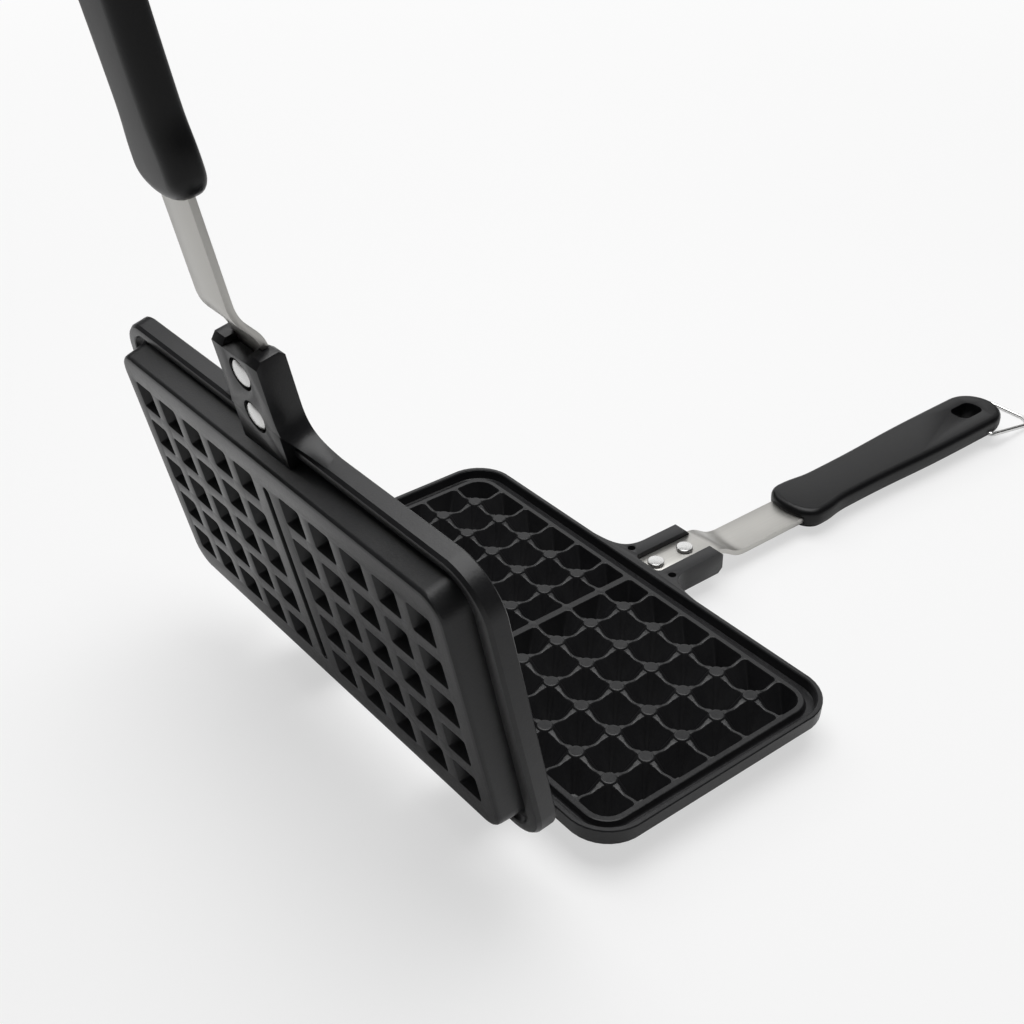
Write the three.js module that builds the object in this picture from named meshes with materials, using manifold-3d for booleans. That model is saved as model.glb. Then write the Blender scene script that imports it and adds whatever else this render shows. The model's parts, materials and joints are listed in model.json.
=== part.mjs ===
// Double-sided waffle iron for the stove top, in millimetres with +Z up.
// Two equal castings face each other across a parting plane and share one hinge.
// The lower one lies on its outer face, the upper one stands open against its stop.
// Each handle is a steel strap, riveted into a channel, with a moulded grip on its tang.
import * as THREE from 'three';
import { ConvexGeometry } from 'three/addons/geometries/ConvexGeometry.js';
import { mergeVertices } from 'three/addons/utils/BufferGeometryUtils.js';
import Module from 'manifold-3d';

const wasm = await Module();
wasm.setup();

// General values
const fit = 0.3;
const overrun = 2;
const cornerSteps = 3;
const roundSides = 20;
const wholeTurn = 2 * Math.PI;
const quarterTurn = Math.PI / 2;
const openAngle = THREE.MathUtils.degToRad(102);

// Casting, seen from the parting plane: depths are measured outward from it
const lipHalfX = 105.2;
const lipHalfY = 57.4;
const lipRadius = 17;
const lipWidth = 1.9;
const flangeDepth = 7;
const flangeDraft = 0.4;
const flangeChamfer = 1.2;
const plateDepth = 15;
const blockHalfX = 94;
const blockHalfY = 48.8;
const blockRadius = 8;
const blockEdge = 1;
const blockDraft = 0.9;
const backGrooveHalfX = 98.8;
const backGrooveHalfY = 53.2;
const backGrooveDepth = 5;
const backGrooveDraft = 0.7;
const gutterDepth = 4.4;
const gutterDraft = 0.8;

// Waffle grid
const gridPitch = 17;
const dividerHalf = 1.35;
const firstStudX = 14.07;
const studColumns = 5;
const studRows = 5;
const ridgeDepth = 2;
const ridgeWidth = 2;
const ridgeInnerX = 96.25;
const ridgeInnerY = 48.55;
const ridgeInnerRadius = 7.65;
const cellDepth = 12.5;
const finHalf = 0.45;
const finSlopeInset = 5.85;
const ridgeSlopeInset = 3.3;
const studTopDepth = 1;
const studTopRadius = 2.7;
const studFlare = 0.35;
const studSeat = 0.12;
const studRootDepth = 0.6;
const studSides = 8;

// Hollows in the outer face
const pocketHalf = 6;
const pocketFloorHalf = 2.4;
const pocketReach = 8.6;
const backSlotHalfX = 1.9;
const backSlotHalfY = 39;
const backSlotReach = 8;
const backSlotDraft = 0.9;

// Hinge: each joint has one knuckle of either casting, side by side on one pin
const hingeReach = 13.3;
const jointCentreX = 49;
const knuckleLength = 14.6;
const jointGap = 0.4;
const knuckleRadius = 6;
const armDepth = 5.5;
const pinRadius = 2.5;
const pinHeadRadius = 3.5;
const pinHeadHeight = 1.1;
const stopThickness = 4.6;
const stopBack = 0.5;

// Handle bracket cast on the flange
const bracketLength = 32.2;
const bracketHalf = 13.3;
const bracketDepth = 10.2;
const bracketRootHalf = 36;
const bracketFlareLength = 13;
const bracketRootSlope = 6;
const bracketEndBevel = 1.8;
const bracketHeelBevel = 2;
const bracketHeelLength = 2.2;
const channelHalf = 7;
const channelDepth = 5;
const channelStart = 1.5;
const floorEndBack = 2.2;
const rivetNear = 6.9;
const rivetFar = 23;
const rivetRecessRadius = 5.75;
const rivetRecessDepth = 1.5;
const gaugeHoleRadius = 1.7;
const gaugeHoleX = 12.1;
const gaugeHoleBack = 4.4;
const gaugeHoleDepth = 4;

// Rivets
const rivetShankRadius = 2.5;
const rivetInnerHeadRadius = 3.5;
const rivetInnerHeadHeight = 1.4;
const rivetInnerEdge = 0.5;
const rivetOuterHeadRadius = 4.8;
const rivetOuterHeadHeight = 1.9;
const rivetEdgeShare = 0.35;

// Steel strap with a joggle between bracket and grip
const strapHalf = 9;
const strapThickness = 2.4;
const strapJoggleStart = 31;
const strapJoggleLength = 20;
const strapOffset = 6.5;
const strapEndBack = 41.6;
const tangHoleRadius = 3.4;
const tangHoleAt = 32.4;
const tangHoleBack = 20;

// Moulded grip
const gripFront = 83.6;
const gripLength = 144;
const gripThickness = 10.8;
const gripFrontDepth = 4.7;
const gripEndRise = 1.2;
const gripHalf = 13.9;
const gripWaistHalf = 12.2;
const gripBulbLength = 10;
const gripWaistAt = 30;
const gripWidestBack = 36;
const gripInnerEdge = 3;
const gripOuterEdge = 6;
const gripEdgeSteps = 3;
const gripCurveSteps = 5;
const hangHoleBack = 18;
const hangHoleHalfX = 5.2;
const hangHoleHalfY = 7.6;
const hangHoleRadius = 4;

// Wire clasp on the end of the lower grip
const wireRadius = 1;
const claspReach = 36;
const claspBend = 9;
const claspFootBend = 2.2;
const claspFootReach = 4.2;
const claspBack = 17;
const claspDepth = 10.4;
const claspDroop = THREE.MathUtils.degToRad(10.5);
const claspSteps = 56;
const claspSides = 6;

// Values worked out from the ones above
const hingeY = -(lipHalfY + hingeReach);
const ridgeOuterX = ridgeInnerX + ridgeWidth;
const ridgeOuterY = ridgeInnerY + ridgeWidth;
const ridgeOuterRadius = ridgeInnerRadius + ridgeWidth;
const restY = (backSlotHalfY + blockHalfY) / 2;
const strapDepth = channelDepth - fit - strapThickness;
const strapEnd = gripFront + gripLength - strapEndBack;
const tangHoleNear = gripFront + tangHoleAt;
const tangHoleFar = strapEnd - tangHoleBack;
const gripWidestAt = gripLength - gripWidestBack;
const hangHoleAt = gripLength - hangHoleBack;
const claspAt = gripLength - claspBack;
const claspLegX = gripHalf + fit + wireRadius;
const gripTilt = Math.atan(gripEndRise / gripLength);

function solidFrom(geometry) {
  const bare = geometry.clone();
  bare.deleteAttribute('normal');
  bare.deleteAttribute('uv');
  const merged = mergeVertices(bare);
  const corners = merged.index.array;
  const kept = [];
  for (let i = 0; i < corners.length; i += 3) {
    const [a, b, c] = corners.slice(i, i + 3);
    if (a !== b && b !== c && c !== a) {
      kept.push(a, b, c);
    }
  }
  const mesh = new wasm.Mesh({
    numProp: 3,
    vertProperties: new Float32Array(merged.attributes.position.array),
    triVerts: new Uint32Array(kept),
  });
  return new wasm.Manifold(mesh);
}

function geometryFrom(solid) {
  const mesh = solid.getMesh();
  const geometry = new THREE.BufferGeometry();
  geometry.setAttribute('position', new THREE.BufferAttribute(mesh.vertProperties, 3));
  geometry.setIndex(new THREE.BufferAttribute(mesh.triVerts, 1));
  geometry.computeVertexNormals();
  return geometry;
}

function namedMesh(name, solid, material) {
  const mesh = new THREE.Mesh(geometryFrom(solid), material);
  mesh.name = name;
  return mesh;
}

function joined(solids) {
  return solids.reduce((whole, next) => whole.add(next));
}

// Straight block between two corners
function block(from, to) {
  const size = to.clone().sub(from);
  const middle = from.clone().add(to).multiplyScalar(0.5);
  const geometry = new THREE.BoxGeometry(size.x, size.y, size.z);
  geometry.translate(middle.x, middle.y, middle.z);
  return solidFrom(geometry);
}

// Round bar standing along Z between two heights, or a cone frustum
function roundBar(x, y, bottom, top, bottomRadius, topRadius, sides) {
  const geometry = new THREE.CylinderGeometry(topRadius, bottomRadius, top - bottom, sides);
  geometry.rotateX(quarterTurn);
  geometry.translate(x, y, (top + bottom) / 2);
  return solidFrom(geometry);
}

// Round bar lying along X
function crossBar(from, to, y, z, radius) {
  const geometry = new THREE.CylinderGeometry(radius, radius, to - from, roundSides);
  geometry.rotateZ(quarterTurn);
  geometry.translate((from + to) / 2, y, z);
  return solidFrom(geometry);
}

function roundedRectangle(halfX, halfY, radius) {
  const shape = new THREE.Shape();
  shape.moveTo(-halfX + radius, -halfY);
  shape.lineTo(halfX - radius, -halfY);
  shape.absarc(halfX - radius, -halfY + radius, radius, -quarterTurn, 0);
  shape.lineTo(halfX, halfY - radius);
  shape.absarc(halfX - radius, halfY - radius, radius, 0, quarterTurn);
  shape.lineTo(-halfX + radius, halfY);
  shape.absarc(-halfX + radius, halfY - radius, radius, quarterTurn, Math.PI);
  shape.lineTo(-halfX, -halfY + radius);
  shape.absarc(-halfX + radius, -halfY + radius, radius, Math.PI, Math.PI + quarterTurn);
  return shape;
}

// Rounded block whose outline changes from level to level
function taperedBlock(levels) {
  const points = levels.flatMap(({ halfX, halfY, radius, z }) => (
    roundedRectangle(halfX, halfY, radius)
      .getPoints(cornerSteps)
      .map((point) => new THREE.Vector3(point.x, point.y, z))
  ));
  return solidFrom(new ConvexGeometry(points));
}

function level(halfX, halfY, radius, depth) {
  return { halfX, halfY, radius, z: -depth };
}

// Profile drawn in the Y-Z plane and extruded along X, centred on x
function sideExtrusion(shape, x, width) {
  const geometry = new THREE.ExtrudeGeometry(shape, {
    depth: width, bevelEnabled: false, curveSegments: cornerSteps,
  });
  geometry.rotateZ(quarterTurn);
  geometry.rotateY(quarterTurn);
  geometry.translate(x - width / 2, 0, 0);
  return solidFrom(geometry);
}

// Body turned about its own axis, which stands along Z
function turned(points) {
  const profile = points.map(([radius, z]) => new THREE.Vector2(radius, z));
  const geometry = new THREE.LatheGeometry(profile, roundSides);
  geometry.rotateX(quarterTurn);
  return geometry;
}

// Cooking side: lip, gutter, ridge frame and the deep cells between the studs
function flange() {
  const side = lipRadius - flangeDraft;
  const edge = flangeDraft + flangeChamfer;
  const outer = taperedBlock([
    level(lipHalfX, lipHalfY, lipRadius, 0),
    level(lipHalfX - flangeDraft, lipHalfY - flangeDraft, side, flangeDepth - flangeChamfer),
    level(lipHalfX - edge, lipHalfY - edge, lipRadius - edge, flangeDepth),
  ]);
  const grooveRadius = lipRadius - (lipHalfX - backGrooveHalfX);
  const grooveX = backGrooveHalfX - backGrooveDraft;
  const grooveY = backGrooveHalfY - backGrooveDraft;
  const groove = taperedBlock([
    level(grooveX, grooveY, grooveRadius, backGrooveDepth),
    level(backGrooveHalfX, backGrooveHalfY, grooveRadius, flangeDepth),
    level(backGrooveHalfX, backGrooveHalfY, grooveRadius, flangeDepth + overrun),
  ]);
  return outer.subtract(groove);
}

function outerBlock() {
  const wallX = blockHalfX + blockEdge;
  const wallY = blockHalfY + blockEdge;
  const radius = blockRadius + blockEdge;
  return taperedBlock([
    level(wallX + blockDraft, wallY + blockDraft, radius + blockDraft, backGrooveDepth - studSeat),
    level(wallX, wallY, radius, plateDepth - blockEdge),
    level(blockHalfX, blockHalfY, blockRadius, plateDepth),
  ]);
}

function gutter() {
  const innerX = lipHalfX - lipWidth;
  const innerY = lipHalfY - lipWidth;
  const innerRadius = lipRadius - lipWidth;
  const well = taperedBlock([
    level(innerX, innerY, innerRadius, -overrun),
    level(innerX, innerY, innerRadius, 0),
    level(innerX - gutterDraft, innerY - gutterDraft, innerRadius - gutterDraft, gutterDepth),
  ]);
  const footX = ridgeOuterX + gutterDraft;
  const footY = ridgeOuterY + gutterDraft;
  const frame = taperedBlock([
    level(ridgeOuterX, ridgeOuterY, ridgeOuterRadius, ridgeDepth),
    level(footX, footY, ridgeOuterRadius + gutterDraft, gutterDepth),
    level(footX, footY, ridgeOuterRadius + gutterDraft, gutterDepth + overrun),
  ]);
  return well.subtract(frame);
}

// Lines that bound the cells of one half: ridge, stud lines, ridge
function cellLines() {
  const across = [{ at: dividerHalf, ridge: true }];
  for (let column = 0; column < studColumns; column += 1) {
    across.push({ at: firstStudX + column * gridPitch, ridge: false });
  }
  across.push({ at: ridgeInnerX, ridge: true, rim: true });
  const along = [{ at: -ridgeInnerY, ridge: true, rim: true }];
  for (let row = 0; row < studRows; row += 1) {
    along.push({ at: (row - (studRows - 1) / 2) * gridPitch, ridge: false });
  }
  along.push({ at: ridgeInnerY, ridge: true, rim: true });
  return { across, along };
}

// Mouth corner of a cell: cut back by the stud, rounded in the frame corner, else plain
function mouthCorner(lineX, lineY, x, y, inwardX, inwardY) {
  if (!lineX.ridge && !lineY.ridge) {
    const rootRadius = studTopRadius + studFlare + studSeat;
    const leg = rootRadius * Math.SQRT2 - 2 * finHalf;
    return [[x + inwardX * leg, y], [x, y + inwardY * leg]];
  }
  if (lineX.rim && lineY.rim) {
    const points = [];
    for (let step = 0; step <= cornerSteps; step += 1) {
      const turn = quarterTurn * step / cornerSteps;
      const backX = ridgeInnerRadius * (1 - Math.cos(turn));
      const backY = ridgeInnerRadius * (1 - Math.sin(turn));
      points.push([x + inwardX * backX, y + inwardY * backY]);
    }
    return points;
  }
  return [[x, y]];
}

// One cell is an inverted, blunt pyramid
function cell(left, right, near, far, side) {
  const edges = [
    { line: left, inward: 1 },
    { line: right, inward: -1 },
  ];
  const ends = [
    { line: near, inward: 1 },
    { line: far, inward: -1 },
  ];
  const points = [];
  for (const edge of edges) {
    const x = edge.line.at + (edge.line.ridge ? 0 : edge.inward * finHalf);
    const insetX = edge.inward * (edge.line.ridge ? ridgeSlopeInset : finSlopeInset);
    for (const end of ends) {
      const y = end.line.at + (end.line.ridge ? 0 : end.inward * finHalf);
      const insetY = end.inward * (end.line.ridge ? ridgeSlopeInset : finSlopeInset);
      for (const [cornerX, cornerY] of mouthCorner(edge.line, end.line, x, y, edge.inward, end.inward)) {
        points.push(new THREE.Vector3(side * cornerX, cornerY, overrun));
        points.push(new THREE.Vector3(side * cornerX, cornerY, -ridgeDepth));
      }
      points.push(new THREE.Vector3(side * (x + insetX), y + insetY, -cellDepth));
    }
  }
  return solidFrom(new ConvexGeometry(points));
}

function cells() {
  const { across, along } = cellLines();
  const all = [];
  for (const side of [-1, 1]) {
    for (let i = 0; i + 1 < across.length; i += 1) {
      for (let j = 0; j + 1 < along.length; j += 1) {
        all.push(cell(across[i], across[i + 1], along[j], along[j + 1], side));
      }
    }
  }
  return joined(all);
}

function studPlaces() {
  const places = [];
  for (const side of [-1, 1]) {
    for (let column = 0; column < studColumns; column += 1) {
      for (let row = 0; row < studRows; row += 1) {
        const x = side * (firstStudX + column * gridPitch);
        const y = (row - (studRows - 1) / 2) * gridPitch;
        places.push({ x, y });
      }
    }
  }
  return places;
}

function studs() {
  const rootRadius = studTopRadius + studFlare;
  const foot = -(ridgeDepth + studRootDepth);
  return joined(studPlaces().map(({ x, y }) => (
    roundBar(x, y, foot, -studTopDepth, rootRadius, studTopRadius, studSides)
  )));
}

// Outer face: one square pocket behind each stud and a slot behind the divider
function pockets() {
  const floorZ = -(plateDepth - pocketReach);
  const face = -plateDepth;
  return joined(studPlaces().map(({ x, y }) => {
    const points = [];
    for (const cornerX of [-1, 1]) {
      for (const cornerY of [-1, 1]) {
        const place = (half, z) => new THREE.Vector3(x + cornerX * half, y + cornerY * half, z);
        points.push(place(pocketFloorHalf, floorZ));
        points.push(place(pocketHalf, face));
        points.push(place(pocketHalf, face - overrun));
      }
    }
    return solidFrom(new ConvexGeometry(points));
  }));
}

function backSlot() {
  const floorX = backSlotHalfX - backSlotDraft;
  const floorY = backSlotHalfY - backSlotDraft;
  return taperedBlock([
    level(floorX, floorY, floorX * rivetEdgeShare, plateDepth - backSlotReach),
    level(backSlotHalfX, backSlotHalfY, backSlotHalfX, plateDepth),
    level(backSlotHalfX, backSlotHalfY, backSlotHalfX, plateDepth + overrun),
  ]);
}

// Hinge knuckle: barrel about the axis, arm to the flange and the heel that stops the lid
function knuckle(from) {
  const to = from + knuckleLength;
  const barrel = crossBar(from, to, hingeY, 0, knuckleRadius);
  const arm = block(
    new THREE.Vector3(from, hingeY, -armDepth),
    new THREE.Vector3(to, -lipHalfY + lipWidth / 2, 0),
  );
  const heel = new THREE.BoxGeometry(knuckleLength, hingeReach - fit, stopThickness);
  heel.translate((from + to) / 2, (hingeReach - fit) / 2, stopBack + stopThickness / 2);
  heel.rotateX(openAngle);
  heel.translate(0, hingeY, 0);
  return joined([barrel, arm, solidFrom(heel)]);
}

function knuckles() {
  return joined([
    knuckle(-jointCentreX + jointGap / 2),
    knuckle(jointCentreX + jointGap / 2),
  ]);
}

function hingeBores() {
  const reach = jointCentreX + knuckleLength + overrun;
  return crossBar(-reach, reach, hingeY, 0, pinRadius + fit);
}

// Bracket: a channel with tall walls, flared into the flange, floor pierced for two rivets
function bracketPlan() {
  const root = lipHalfY - lipWidth / 2;
  const flareEnd = lipHalfY + bracketFlareLength;
  const end = lipHalfY + bracketLength;
  const shape = new THREE.Shape();
  shape.moveTo(-bracketRootHalf, root);
  shape.lineTo(bracketRootHalf, root);
  shape.lineTo(bracketRootHalf, lipHalfY);
  shape.bezierCurveTo(bracketHalf + fit, lipHalfY, bracketHalf, lipHalfY, bracketHalf, flareEnd);
  shape.lineTo(bracketHalf, end);
  shape.lineTo(-bracketHalf, end);
  shape.lineTo(-bracketHalf, flareEnd);
  shape.bezierCurveTo(-bracketHalf, lipHalfY, -bracketHalf - fit, lipHalfY, -bracketRootHalf, lipHalfY);
  return shape;
}

function bracketSide() {
  const root = lipHalfY - lipWidth;
  const slopeEnd = lipHalfY + bracketRootSlope;
  const end = lipHalfY + bracketLength;
  const shape = new THREE.Shape();
  shape.moveTo(root, 0);
  shape.lineTo(end - bracketEndBevel, 0);
  shape.lineTo(end, -bracketEndBevel);
  shape.lineTo(end, -(bracketDepth - bracketHeelBevel));
  shape.lineTo(end - bracketHeelLength, -bracketDepth);
  shape.lineTo(slopeEnd, -bracketDepth);
  shape.lineTo(lipHalfY - flangeDraft, flangeChamfer - flangeDepth);
  shape.lineTo(root, flangeChamfer - flangeDepth);
  return shape;
}

// Web that carries the bracket's outer face over the groove to the wall of the block
function bracketKeel() {
  const keelHalf = bracketHalf + fit;
  return block(
    new THREE.Vector3(-keelHalf, blockHalfY, -bracketDepth),
    new THREE.Vector3(keelHalf, lipHalfY + bracketRootSlope, studSeat - backGrooveDepth),
  );
}

function bracket() {
  const plan = new THREE.ExtrudeGeometry(bracketPlan(), {
    depth: bracketDepth + 2 * overrun, bevelEnabled: false, curveSegments: 2 * cornerSteps,
  });
  plan.translate(0, 0, -bracketDepth - overrun);
  const side = sideExtrusion(bracketSide(), 0, 2 * bracketRootHalf + overrun);
  const end = lipHalfY + bracketLength;
  const channel = block(
    new THREE.Vector3(-channelHalf, lipHalfY + channelStart, -channelDepth),
    new THREE.Vector3(channelHalf, end + overrun, overrun),
  );
  const floorEnd = block(
    new THREE.Vector3(-channelHalf, end - floorEndBack, -bracketDepth - overrun),
    new THREE.Vector3(channelHalf, end + overrun, 0),
  );
  let body = solidFrom(plan).intersect(side).add(bracketKeel()).subtract(channel).subtract(floorEnd);
  for (const reach of [rivetNear, rivetFar]) {
    const y = lipHalfY + reach;
    const recess = roundBar(
      0, y, -bracketDepth - overrun, -bracketDepth + rivetRecessDepth,
      rivetRecessRadius, rivetRecessRadius, roundSides,
    );
    body = body.subtract(recess).subtract(rivetBore(y));
  }
  for (const side of [-1, 1]) {
    const hole = roundBar(
      side * gaugeHoleX, lipHalfY + gaugeHoleBack, -gaugeHoleDepth, overrun,
      gaugeHoleRadius, gaugeHoleRadius, roundSides / 2,
    );
    body = body.subtract(hole);
  }
  return body;
}

function rivetBore(y) {
  const radius = rivetShankRadius + fit;
  return roundBar(0, y, -bracketDepth - overrun, overrun, radius, radius, roundSides);
}

function casting() {
  return flange()
    .add(outerBlock())
    .subtract(gutter())
    .subtract(cells())
    .add(studs())
    .subtract(pockets())
    .subtract(backSlot())
    .add(knuckles())
    .subtract(hingeBores())
    .add(bracket());
}

// Hinge pin with a low dome at either end, in the frame of the hinge axis
function hingePin() {
  const half = knuckleLength + 2 * fit;
  const end = half + pinHeadHeight;
  const rim = half + pinHeadHeight * rivetEdgeShare;
  const pin = turned([
    [0, -end],
    [pinHeadRadius * (1 - rivetEdgeShare), -end],
    [pinHeadRadius, -rim],
    [pinHeadRadius, -half],
    [pinRadius, -half],
    [pinRadius, half],
    [pinHeadRadius, half],
    [pinHeadRadius, rim],
    [pinHeadRadius * (1 - rivetEdgeShare), end],
    [0, end],
  ]);
  pin.rotateY(quarterTurn);
  return pin;
}

// Strap seen from the side, shifted in depth by the joggle, with a narrow tongue in the channel
function strap() {
  const start = lipHalfY + channelStart + fit;
  const bendFrom = lipHalfY + strapJoggleStart;
  const bendTo = bendFrom + strapJoggleLength;
  const middle = (bendFrom + bendTo) / 2;
  const end = lipHalfY + strapEnd;
  const near = -strapDepth;
  const far = near - strapOffset;
  const shape = new THREE.Shape();
  shape.moveTo(start, near - strapThickness);
  shape.lineTo(bendFrom, near - strapThickness);
  shape.bezierCurveTo(
    middle, near - strapThickness, middle, far - strapThickness, bendTo, far - strapThickness,
  );
  shape.lineTo(end, far - strapThickness);
  shape.lineTo(end, far);
  shape.lineTo(bendTo, far);
  shape.bezierCurveTo(middle, far, middle, near, bendFrom, near);
  shape.lineTo(start, near);
  const inChannel = block(
    new THREE.Vector3(-strapHalf - overrun, start - overrun, -bracketDepth),
    new THREE.Vector3(strapHalf + overrun, lipHalfY + bracketLength + fit, 0),
  );
  const tongue = sideExtrusion(shape, 0, 2 * (channelHalf - fit));
  const body = sideExtrusion(shape, 0, 2 * strapHalf).subtract(inChannel).add(tongue);
  const tangHoles = joined([tangHoleNear, tangHoleFar].map((reach) => (
    tangPlug(reach, tangHoleRadius)
  )));
  return body
    .subtract(rivetBore(lipHalfY + rivetNear))
    .subtract(rivetBore(lipHalfY + rivetFar))
    .subtract(tangHoles);
}

// Bar through the tang: a hole in the strap, and thinner, the grip's material in that hole
function tangPlug(reach, radius) {
  const z = -strapDepth - strapOffset;
  return roundBar(
    0, lipHalfY + reach, z - strapThickness - overrun, z + overrun, radius, radius, roundSides / 2,
  );
}

function rivet() {
  const innerSeat = -strapDepth + fit;
  const innerTop = innerSeat + rivetInnerHeadHeight;
  const outerSeat = -(bracketDepth - rivetRecessDepth + fit);
  const outerTop = outerSeat - rivetOuterHeadHeight;
  const outerRim = outerSeat - rivetOuterHeadHeight * rivetEdgeShare;
  const crown = rivetOuterHeadRadius * (1 - rivetEdgeShare);
  return solidFrom(turned([
    [0, outerTop],
    [crown * rivetEdgeShare, outerTop],
    [crown, (outerTop + outerRim) / 2],
    [rivetOuterHeadRadius, outerRim],
    [rivetOuterHeadRadius, outerSeat],
    [rivetShankRadius, outerSeat],
    [rivetShankRadius, innerSeat],
    [rivetInnerHeadRadius, innerSeat],
    [rivetInnerHeadRadius, innerTop - rivetInnerEdge],
    [rivetInnerHeadRadius - rivetInnerEdge, innerTop],
    [0, innerTop],
  ]));
}

// Grip outline in plan: blunt front, slight waist, round end
function gripPlan() {
  const endCentre = gripLength - gripHalf;
  const halfway = (gripWaistAt + gripWidestAt) / 2;
  const waistLead = (gripBulbLength + gripWaistAt) / 2;
  const shape = new THREE.Shape();
  shape.moveTo(0, 0);
  shape.bezierCurveTo(gripHalf / 2, 0, gripHalf, gripInnerEdge, gripHalf, gripBulbLength);
  shape.bezierCurveTo(gripHalf, waistLead, gripWaistHalf, waistLead, gripWaistHalf, gripWaistAt);
  shape.bezierCurveTo(gripWaistHalf, halfway, gripHalf, halfway, gripHalf, gripWidestAt);
  shape.lineTo(gripHalf, endCentre);
  shape.absarc(0, endCentre, gripHalf, 0, Math.PI);
  shape.lineTo(-gripHalf, gripWidestAt);
  shape.bezierCurveTo(-gripHalf, halfway, -gripWaistHalf, halfway, -gripWaistHalf, gripWaistAt);
  shape.bezierCurveTo(-gripWaistHalf, waistLead, -gripHalf, waistLead, -gripHalf, gripBulbLength);
  shape.bezierCurveTo(-gripHalf, gripInnerEdge, -gripHalf / 2, 0, 0, 0);
  return shape;
}

// Puts a shape drawn on the grip's inner face into the frame of the casting
function placeOnGrip(geometry) {
  geometry.rotateX(gripTilt);
  geometry.translate(0, lipHalfY + gripFront, -gripFrontDepth);
  return solidFrom(geometry);
}

// Bar of the grip's outline with both long edges rounded alike, standing on z
function roundedGrip(edge, z) {
  const body = new THREE.ExtrudeGeometry(gripPlan(), {
    depth: gripThickness,
    bevelEnabled: true,
    bevelThickness: edge,
    bevelSize: edge,
    bevelOffset: -edge,
    bevelSegments: gripEdgeSteps,
    curveSegments: gripCurveSteps,
  });
  body.translate(0, 0, z + edge);
  return placeOnGrip(body);
}

// The inner edge is crisper than the outer one, which lies in the hand
function grip(withClasp) {
  const body = roundedGrip(gripInnerEdge, -gripThickness - 2 * gripInnerEdge)
    .intersect(roundedGrip(gripOuterEdge, -gripThickness));
  const hole = new THREE.ExtrudeGeometry(
    roundedRectangle(hangHoleHalfX, hangHoleHalfY, hangHoleRadius),
    { depth: gripThickness + 2 * overrun, bevelEnabled: false, curveSegments: cornerSteps },
  );
  hole.translate(0, hangHoleAt, -gripThickness - overrun);
  const tangZ = -strapDepth - strapOffset;
  const tangRoom = block(
    new THREE.Vector3(-strapHalf - fit, lipHalfY + gripFront - overrun, tangZ - strapThickness - fit),
    new THREE.Vector3(strapHalf + fit, lipHalfY + strapEnd + fit, tangZ + fit),
  );
  const plugs = joined([tangHoleNear, tangHoleFar].map((reach) => (
    tangPlug(reach, tangHoleRadius - fit)
  )));
  let whole = body.subtract(placeOnGrip(hole)).subtract(tangRoom.subtract(plugs));
  if (withClasp) {
    const y = lipHalfY + gripFront + claspAt;
    const depthOfFoot = claspLegX - claspFootReach - 2 * fit;
    const boreRadius = wireRadius + fit;
    const reach = gripHalf + overrun;
    whole = whole
      .subtract(crossBar(depthOfFoot - wireRadius, reach, y, -claspDepth, boreRadius))
      .subtract(crossBar(-reach, wireRadius - depthOfFoot, y, -claspDepth, boreRadius));
  }
  return whole;
}

// Wire bail: two feet in the sides of the grip, two legs and a rounded end
function claspPath() {
  const footX = claspLegX - claspFootReach;
  const path = new THREE.Path();
  path.moveTo(-footX, 0);
  path.lineTo(-claspLegX + claspFootBend, 0);
  path.absarc(-claspLegX + claspFootBend, claspFootBend, claspFootBend, -quarterTurn, -Math.PI, true);
  path.lineTo(-claspLegX, claspReach - claspBend);
  path.absarc(-claspLegX + claspBend, claspReach - claspBend, claspBend, Math.PI, quarterTurn, true);
  path.lineTo(claspLegX - claspBend, claspReach);
  path.absarc(claspLegX - claspBend, claspReach - claspBend, claspBend, quarterTurn, 0, true);
  path.lineTo(claspLegX, claspFootBend);
  path.absarc(claspLegX - claspFootBend, claspFootBend, claspFootBend, 0, -quarterTurn, true);
  path.lineTo(footX, 0);
  const points = path.getSpacedPoints(claspSteps);
  return new THREE.CatmullRomCurve3(points.map((point) => new THREE.Vector3(point.x, point.y, 0)));
}

function clasp() {
  const section = new THREE.Shape();
  section.absarc(0, 0, wireRadius, 0, wholeTurn);
  const wire = new THREE.ExtrudeGeometry(section, {
    steps: claspSteps, extrudePath: claspPath(), curveSegments: claspSides / 2, bevelEnabled: false,
  });
  return solidFrom(wire);
}

function coatedAluminium() {
  return new THREE.MeshStandardMaterial({ color: 0x2a2b2d, roughness: 0.5, metalness: 0.4 });
}

function brushedSteel() {
  return new THREE.MeshStandardMaterial({ color: 0xb9b8b4, roughness: 0.35, metalness: 1 });
}

function brightSteel() {
  return new THREE.MeshStandardMaterial({ color: 0xd8d9da, roughness: 0.25, metalness: 1 });
}

function blackPlastic() {
  return new THREE.MeshStandardMaterial({ color: 0x1b1b1d, roughness: 0.55, metalness: 0 });
}

// Castings with their handle parts, in the frame of the casting
function half(prefix, withClasp) {
  const group = new THREE.Group();
  group.add(namedMesh(`${prefix}_plate`, casting(), coatedAluminium()));
  group.add(namedMesh(`${prefix}_strap`, strap(), brushedSteel()));
  for (const [place, reach] of [['inner', rivetNear], ['outer', rivetFar]]) {
    const fastener = namedMesh(`${prefix}_strap_rivet_${place}`, rivet(), brightSteel());
    fastener.position.set(0, lipHalfY + reach, 0);
    group.add(fastener);
  }
  group.add(namedMesh(`${prefix}_grip`, grip(withClasp), blackPlastic()));
  return group;
}

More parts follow.
